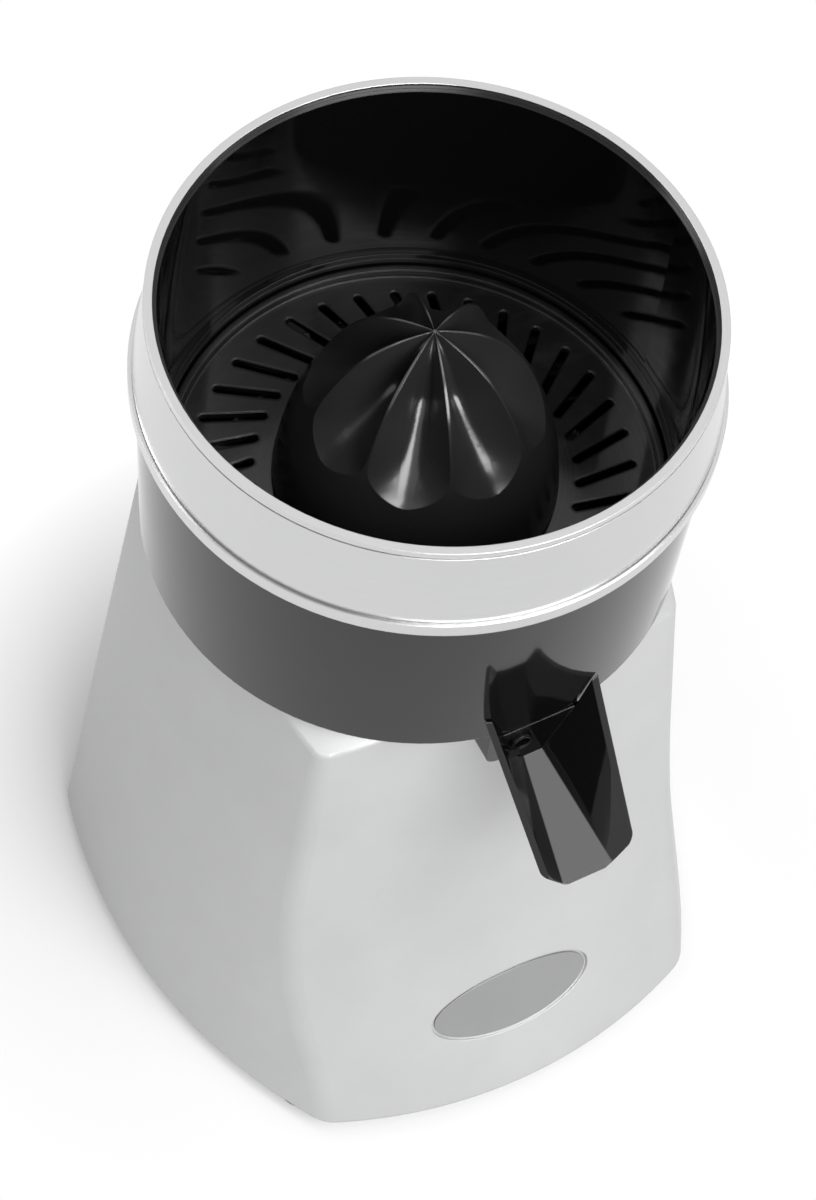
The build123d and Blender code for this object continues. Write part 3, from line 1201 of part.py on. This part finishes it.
with BuildPart() as terminal_block:
    with Locations((TERMINAL_X, TERMINAL_Y, PLATE_TOP)):
        Box(TERMINAL_WIDTH, TERMINAL_LENGTH, TERMINAL_HEIGHT, align=UP)
    with Locations((TERMINAL_X, TERMINAL_Y, PLATE_TOP + TERMINAL_HEIGHT)):
        with GridLocations(0, TERMINAL_LENGTH / TERMINAL_POLES, 1, TERMINAL_POLES):
            Cylinder(TERMINAL_SCREW, TERMINAL_HEIGHT / 2, align=DOWN, mode=Mode.SUBTRACT)
save(terminal_block, "terminal_block")
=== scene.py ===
import math

import bpy
from mathutils import Matrix, Vector

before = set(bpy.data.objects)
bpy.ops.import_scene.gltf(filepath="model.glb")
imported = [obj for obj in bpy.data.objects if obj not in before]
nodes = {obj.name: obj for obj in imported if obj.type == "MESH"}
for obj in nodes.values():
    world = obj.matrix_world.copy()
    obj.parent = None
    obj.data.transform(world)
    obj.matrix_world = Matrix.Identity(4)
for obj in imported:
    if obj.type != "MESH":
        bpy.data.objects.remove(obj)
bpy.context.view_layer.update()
scene = bpy.context.scene
scene.view_settings.view_transform = "Standard"

# The middle range of a noise texture, which varied colours and roughnesses are spread over
NOISE_LOW = 0.3
NOISE_HIGH = 0.7
SMOOTHEST = 0.02

# The Mix node's sockets for colours
MIX_FIRST = 6
MIX_SECOND = 7
MIX_RESULT = 2

DUST = (0.03, 0.03, 0.03)
SCUFFED_BLACK = (0.016, 0.016, 0.016)

# Floor and world: distances in metres, strengths where 1 is white
FLOOR_HALF = 6.0
FLOOR_TONE = (0.86, 0.86, 0.86, 1)
WHITE = (1, 1, 1, 1)
WHITE_STRENGTH = 1.0
LIFT_START = 0.12
LIFT_END = 0.2
LIFT_BY_OBJECT = 0.25
LIFT_AWAY = 1.0
FILL_STRENGTH = 0.15

# Camera, fitted to the photograph: angles in degrees, lens in millimetres, the rest in metres
CAMERA_AZIMUTH = -34.592
CAMERA_ELEVATION = 58.288
CAMERA_ROLL = 8.182
CAMERA_DISTANCE = 1.09791
CAMERA_SHIFT_RIGHT = -0.009831
CAMERA_SHIFT_UP = -0.095231
CAMERA_AIM = (0, 0, 0.35)
CAMERA_LENS = 102.0
CAMERA_SENSOR = 36.0
CAMERA_CLIP_START = 0.05


class Surface:
    """A Principled material with its node tree, and short ways to add the nodes that vary it."""

    def __init__(self, name, color, metallic=0.0, roughness=0.5, specular=0.5, coat=0.0):
        self.made = bpy.data.materials.new(name)
        self.made.use_nodes = True
        self.tree = self.made.node_tree
        self.shader = self.tree.nodes["Principled BSDF"]
        self.color = color
        self.roughness = roughness
        self.shader.inputs["Base Color"].default_value = (*color, 1)
        self.shader.inputs["Metallic"].default_value = metallic
        self.shader.inputs["Roughness"].default_value = roughness
        self.shader.inputs["Specular IOR Level"].default_value = specular
        self.shader.inputs["Coat Weight"].default_value = coat
        self.place = self.node("ShaderNodeTexCoord").outputs["Object"]
        self.normal = None

    def node(self, kind, **settings):
        """Adds a node, and sets its inputs, or else its properties, by name."""
        made = self.tree.nodes.new(kind)
        for key, value in settings.items():
            if key in made.inputs:
                made.inputs[key].default_value = value
            else:
                setattr(made, key, value)
        return made

    def join(self, output, target):
        self.tree.links.new(output, target)

    def math(self, operation, first, second=0.0):
        made = self.node("ShaderNodeMath", operation=operation)
        for socket, value in zip(made.inputs, (first, second)):
            if isinstance(value, float):
                socket.default_value = value
            else:
                self.join(value, socket)
        return made.outputs[0]

    def blend(self, first, share, second):
        """The given share of the first value, and the rest of the second."""
        return self.math("ADD", self.math("MULTIPLY", first, share), self.math("MULTIPLY", second, 1.0 - share))

    def around(self, turns, radial, upright):
        """Coordinates that run round the drive axis, scaled per radian, per metre of radius and of height."""
        apart = self.node("ShaderNodeSeparateXYZ")
        self.join(self.place, apart.inputs[0])
        x, y, z = apart.outputs
        angle = self.math("ARCTAN2", y, x)
        radius = self.math("SQRT", self.math("ADD", self.math("MULTIPLY", x, x), self.math("MULTIPLY", y, y)))
        whole = self.node("ShaderNodeCombineXYZ")
        self.join(self.math("MULTIPLY", angle, turns), whole.inputs[0])
        self.join(self.math("MULTIPLY", radius, radial), whole.inputs[1])
        self.join(self.math("MULTIPLY", z, upright), whole.inputs[2])
        return whole.outputs[0]

    def noise(self, scale, detail=3.0, stretch=None, place=None):
        made = self.node("ShaderNodeTexNoise", Scale=scale, Detail=detail, Roughness=0.6)
        source = place or self.place
        if stretch:
            mapping = self.node("ShaderNodeMapping", Scale=stretch)
            self.join(source, mapping.inputs["Vector"])
            source = mapping.outputs[0]
        self.join(source, made.inputs["Vector"])
        return made.outputs["Fac"]

    def spread(self, source, low, high, start=NOISE_LOW, end=NOISE_HIGH):
        made = self.node("ShaderNodeMapRange")
        made.inputs["From Min"].default_value = start
        made.inputs["From Max"].default_value = end
        made.inputs["To Min"].default_value = low
        made.inputs["To Max"].default_value = high
        self.join(source, made.inputs["Value"])
        return made.outputs[0]

    def vary_color(self, source, amount, start=NOISE_LOW, end=NOISE_HIGH):
        """Blends the colour from a darker to a lighter tone with the source."""
        darker = [c * (1 - amount) for c in self.color]
        lighter = [min(1, c * (1 + amount)) for c in self.color]
        self.mix_color(source, darker, lighter, start, end)

    def mix_color(self, source, low, high, start, end):
        made = self.node("ShaderNodeMix", data_type="RGBA")
        made.inputs[MIX_FIRST].default_value = (*low, 1)
        made.inputs[MIX_SECOND].default_value = (*high, 1)
        self.join(self.spread(source, 0.0, 1.0, start, end), made.inputs[0])
        self.join(made.outputs[MIX_RESULT], self.shader.inputs["Base Color"])

    def vary_roughness(self, source, amount):
        low = max(SMOOTHEST, self.roughness - amount)
        self.join(self.spread(source, low, self.roughness + amount), self.shader.inputs["Roughness"])

    def round_edges(self, radius):
        """Softens hard edges over the given radius, as a moulded or cast edge is."""
        made = self.node("ShaderNodeBevel", samples=4)
        made.inputs["Radius"].default_value = radius
        self.normal = made.outputs[0]

    def raise_up(self, source, distance, strength):
        made = self.node("ShaderNodeBump", Strength=strength, Distance=distance)
        self.join(source, made.inputs["Height"])
        if self.normal:
            self.join(self.normal, made.inputs["Normal"])
        self.normal = made.outputs[0]

    def done(self):
        if self.normal:
            self.join(self.normal, self.shader.inputs["Normal"])
        return self.made


# Scales are per metre; grain depths and edge radii are in metres.


def blasted(name, color, roughness, grain=1700.0, depth=0.00006, edge=0.0008, metallic=1.0):
    """Bead-blasted metal: an even fine grain with faint cloudy tone."""
    made = Surface(name, color, metallic=metallic, roughness=roughness)
    fine = made.noise(grain, detail=2.0)
    cloud = made.noise(26.0, detail=4.0)
    made.vary_color(cloud, amount=0.03)
    made.vary_roughness(made.blend(fine, 0.7, cloud), amount=0.06)
    made.round_edges(edge)
    made.raise_up(fine, depth, strength=0.35)
    return made.done()


def turned(name, color, roughness, lines, depth):
    """Metal brushed or turned round the drive axis."""
    made = Surface(name, color, metallic=1.0, roughness=roughness)
    marks = made.noise(1.0, detail=3.0, place=made.around(turns=5.0, radial=lines, upright=lines))
    cloud = made.noise(30.0, detail=3.0)
    made.vary_color(made.blend(marks, 0.7, cloud), amount=0.03)
    made.vary_roughness(marks, amount=0.04)
    made.round_edges(radius=0.0004)
    made.raise_up(marks, depth, strength=0.5)
    return made.done()


def gloss(name, color, roughness, specular=0.5):
    """Polished moulded plastic: slight waviness, faint haze and a few specks of dust."""
    made = Surface(name, color, roughness=roughness, specular=specular)
    haze = made.noise(60.0, detail=5.0)
    specks = made.noise(2600.0, detail=0.0)
    made.mix_color(specks, color, DUST, start=0.82, end=0.92)
    made.vary_roughness(haze, amount=0.03)
    made.round_edges(radius=0.0006)
    made.raise_up(made.noise(45.0, detail=1.0), distance=0.00003, strength=0.25)
    return made.done()


def moulded(name, color, roughness, grain=900.0, depth=0.00006, amount=0.12):
    """Matt moulded plastic or rubber with a fine spark-eroded grain."""
    made = Surface(name, color, roughness=roughness, specular=0.4)
    fine = made.noise(grain, detail=2.0)
    cloud = made.noise(70.0, detail=4.0)
    made.vary_color(cloud, amount=amount)
    made.vary_roughness(fine, amount=0.08)
    made.round_edges(radius=0.0004)
    made.raise_up(fine, depth, strength=0.6)
    return made.done()


def scuffed(name, color):
    """Black plastic with faint turning marks and scuffs from use."""
    made = Surface(name, color, roughness=0.17, specular=0.55)
    rings = made.noise(1.0, detail=2.0, place=made.around(turns=1.5, radial=1600.0, upright=300.0))
    scuffs = made.noise(38.0, detail=6.0, stretch=(1.0, 3.0, 1.0))
    made.mix_color(scuffs, color, SCUFFED_BLACK, start=0.5, end=0.8)
    made.vary_roughness(made.blend(rings, 0.5, scuffs), amount=0.08)
    made.round_edges(radius=0.0014)
    made.raise_up(rings, distance=0.00002, strength=0.3)
    return made.done()


def wound(name, color):
    """Enamelled wire laid round in turns, each turn lighter on its crest and darker towards the grooves by painted
    shade.
    """
    made = Surface(name, color, metallic=1.0, roughness=0.35, coat=0.6)
    wave = made.node("ShaderNodeTexWave", wave_type="BANDS", Scale=160.0, Distortion=1.5, Detail=2.0)
    made.join(made.around(turns=9.0, radial=1.0, upright=1.0), wave.inputs["Vector"])
    # Painted shade: the colour follows the bump's bands, darker in the grooves between turns and lighter on each
    # crest.
    made.vary_color(wave.outputs["Fac"], amount=0.35, start=0.0, end=1.0)
    made.vary_roughness(made.noise(300.0), amount=0.08)
    made.raise_up(wave.outputs["Fac"], distance=0.0003, strength=0.8)
    return made.done()


def laminated(name, color):
    """Stack of punched steel sheets."""
    made = Surface(name, color, metallic=1.0, roughness=0.45)
    sheets = made.noise(1.0, detail=0.0, stretch=(3.0, 3.0, 1500.0))
    made.vary_color(sheets, amount=0.3)
    made.vary_roughness(made.noise(200.0), amount=0.1)
    made.raise_up(sheets, distance=0.0002, strength=0.7)
    return made.done()


aluminium = blasted("cast_aluminium", (0.55, 0.552, 0.555), roughness=0.4, metallic=0.45)
badge_metal = blasted(
    "badge_metal", (0.34, 0.341, 0.343), roughness=0.34, grain=2400.0, depth=0.00004, edge=0.0004, metallic=0.7
)
motor_metal = blasted("motor_casting", (0.58, 0.59, 0.6), roughness=0.5, grain=700.0, depth=0.0002, edge=0.0006)
ring_metal = turned("ring_steel", (0.64, 0.641, 0.643), roughness=0.2, lines=2600.0, depth=0.000004)
sheet_steel = turned("steel", (0.6, 0.61, 0.62), roughness=0.38, lines=900.0, depth=0.00003)
bearing_steel = turned("bearing_steel", (0.66, 0.66, 0.67), roughness=0.2, lines=1800.0, depth=0.00002)
core_steel = laminated("core_steel", (0.3, 0.3, 0.31))
copper = wound("copper", (0.62, 0.29, 0.14))
bowl_plastic = gloss("bowl_plastic", (0.003, 0.003, 0.0032), roughness=0.05, specular=0.36)
spout_plastic = gloss("spout_plastic", (0.003, 0.003, 0.0032), roughness=0.05)
reamer_plastic = gloss("reamer_plastic", (0.021, 0.021, 0.0215), roughness=0.18, specular=0.7)
strainer_plastic = scuffed("strainer_plastic", (0.005, 0.005, 0.0053))
matte_black = moulded("matte_black", (0.025, 0.025, 0.027), roughness=0.5)
rocker_plastic = gloss("rocker_plastic", (0.016, 0.016, 0.018), roughness=0.2)
fan_plastic = moulded("fan_plastic", (0.05, 0.055, 0.06), roughness=0.5)
terminal_plastic = moulded("terminal_plastic", (0.75, 0.74, 0.7), roughness=0.45)
capacitor_case = moulded(
    "capacitor_case", (0.8, 0.8, 0.78), roughness=0.32, grain=300.0, depth=0.00003, amount=0.04
)
rubber = moulded("rubber", (0.02, 0.02, 0.021), roughness=0.72, grain=1300.0, depth=0.0001)

finishes = {
    aluminium: ["base_housing"],
    badge_metal: ["badge_plate"],
    motor_metal: ["motor_upper_bell", "motor_lower_bell"],
    ring_metal: ["splash_ring"],
    sheet_steel: ["base_plate", "foot_screws", "motor_bolts", "capacitor_clip"],
    bearing_steel: ["upper_bearing", "lower_bearing", "motor_shaft", "drive_pin", "drive_sleeve"],
    core_steel: ["stator_core", "rotor_core"],
    copper: ["stator_windings"],
    bowl_plastic: ["bowl"],
    spout_plastic: ["spout"],
    reamer_plastic: ["reamer"],
    strainer_plastic: ["strainer"],
    matte_black: ["switch_body", "cable_gland", "gland_nut"],
    rocker_plastic: ["switch_rocker"],
    fan_plastic: ["cooling_fan"],
    terminal_plastic: ["terminal_block"],
    capacitor_case: ["run_capacitor"],
    rubber: [
        "foot_front_left", "foot_front_right", "foot_back_left", "foot_back_right", "shaft_seal", "bowl_gasket"
    ],
}
for finish, names in finishes.items():
    for name in names:
        nodes[name].data.materials.clear()
        nodes[name].data.materials.append(finish)


def background_share(tree):
    """1 for rays that see the plain background: straight from the camera, mirrored or passed on."""
    path = tree.nodes.new("ShaderNodeLightPath")
    total = path.outputs["Is Camera Ray"]
    for ray in ("Is Glossy Ray", "Is Transmission Ray"):
        larger = tree.nodes.new("ShaderNodeMath")
        larger.operation = "MAXIMUM"
        tree.links.new(total, larger.inputs[0])
        tree.links.new(path.outputs[ray], larger.inputs[1])
        total = larger.outputs[0]
    return total


# Floor: pale, shaded by the lamps, and blended to white away from the object for the rays that see it as background
floor_mesh = bpy.data.meshes.new("floor")
floor_corners = [(x * FLOOR_HALF, y * FLOOR_HALF, 0) for x, y in ((-1, -1), (1, -1), (1, 1), (-1, 1))]
floor_mesh.from_pydata(floor_corners, [], [(0, 1, 2, 3)])
floor = bpy.data.objects.new("floor", floor_mesh)
scene.collection.objects.link(floor)
floor_paint = bpy.data.materials.new("floor_paint")
floor_paint.use_nodes = True
tree = floor_paint.node_tree
tree.nodes.clear()
matt = tree.nodes.new("ShaderNodeBsdfDiffuse")
matt.inputs["Color"].default_value = FLOOR_TONE
white = tree.nodes.new("ShaderNodeEmission")
white.inputs["Color"].default_value = WHITE
white.inputs["Strength"].default_value = WHITE_STRENGTH
spot = tree.nodes.new("ShaderNodeTexCoord")
away = tree.nodes.new("ShaderNodeVectorMath")
away.operation = "LENGTH"
tree.links.new(spot.outputs["Object"], away.inputs[0])
fade = tree.nodes.new("ShaderNodeMapRange")
fade.inputs["From Min"].default_value = LIFT_START
fade.inputs["From Max"].default_value = LIFT_END
fade.inputs["To Min"].default_value = LIFT_BY_OBJECT
fade.inputs["To Max"].default_value = LIFT_AWAY
tree.links.new(away.outputs["Value"], fade.inputs["Value"])
lift_share = tree.nodes.new("ShaderNodeMath")
lift_share.operation = "MULTIPLY"
tree.links.new(background_share(tree), lift_share.inputs[0])
tree.links.new(fade.outputs[0], lift_share.inputs[1])
both = tree.nodes.new("ShaderNodeMixShader")
tree.links.new(lift_share.outputs[0], both.inputs[0])
tree.links.new(matt.outputs[0], both.inputs[1])
tree.links.new(white.outputs[0], both.inputs[2])
surface = tree.nodes.new("ShaderNodeOutputMaterial")
tree.links.new(both.outputs[0], surface.inputs["Surface"])
floor_mesh.materials.append(floor_paint)

# World: white where it is seen, a weak even fill elsewhere
world = bpy.data.worlds.new("studio")
scene.world = world
world.use_nodes = True
tree = world.node_tree
sky = tree.nodes["Background"]
sky.inputs["Color"].default_value = WHITE
seen = tree.nodes.new("ShaderNodeMapRange")
seen.inputs["To Min"].default_value = FILL_STRENGTH
seen.inputs["To Max"].default_value = WHITE_STRENGTH
tree.links.new(background_share(tree), seen.inputs["Value"])
tree.links.new(seen.outputs[0], sky.inputs["Strength"])


def softbox(name, place, target, width, height, radiance):
    """Rectangular studio lamp that faces the target, with the given brightness of its front."""
    data = bpy.data.lights.new(name, "AREA")
    data.shape = "RECTANGLE"
    data.size = width
    data.size_y = height
    data.energy = radiance * math.pi * width * height
    lamp = bpy.data.objects.new(name, data)
    lamp.location = place
    lamp.rotation_mode = "QUATERNION"
    lamp.rotation_quaternion = (Vector(target) - Vector(place)).to_track_quat("-Z", "Y")
    scene.collection.objects.link(lamp)


softbox("top_softbox", (0.42, -0.3, 1.75), (0, -0.03, 0.25), width=0.9, height=0.9, radiance=3.0)
softbox("front_softbox", (0, -0.8, 1.0), (0, -0.1, 0.12), width=0.9, height=0.6, radiance=8.5)
softbox("back_softbox", (-0.6, 0.85, 1.6), (0, 0, 0.3), width=0.5, height=0.5, radiance=4.0)

# Camera: looks along -back, turned by the roll, and shifted in its own plane
azimuth = math.radians(CAMERA_AZIMUTH)
elevation = math.radians(CAMERA_ELEVATION)
roll = math.radians(CAMERA_ROLL)
back = Vector(
    (math.sin(azimuth) * math.cos(elevation), -math.cos(azimuth) * math.cos(elevation), math.sin(elevation))
)
level = (-back).cross(Vector((0, 0, 1))).normalized()
upright = level.cross(-back)
right = math.cos(roll) * level + math.sin(roll) * upright
up = -math.sin(roll) * level + math.cos(roll) * upright
camera_data = bpy.data.cameras.new("camera")
camera_data.lens = CAMERA_LENS
camera_data.sensor_width = CAMERA_SENSOR
camera_data.clip_start = CAMERA_CLIP_START
camera = bpy.data.objects.new("camera", camera_data)
scene.collection.objects.link(camera)
pose = Matrix((right, up, back)).transposed().to_4x4()
pose.translation = (
    Vector(CAMERA_AIM) + back * CAMERA_DISTANCE + right * CAMERA_SHIFT_RIGHT + up * CAMERA_SHIFT_UP
)
camera.matrix_world = pose
scene.camera = camera
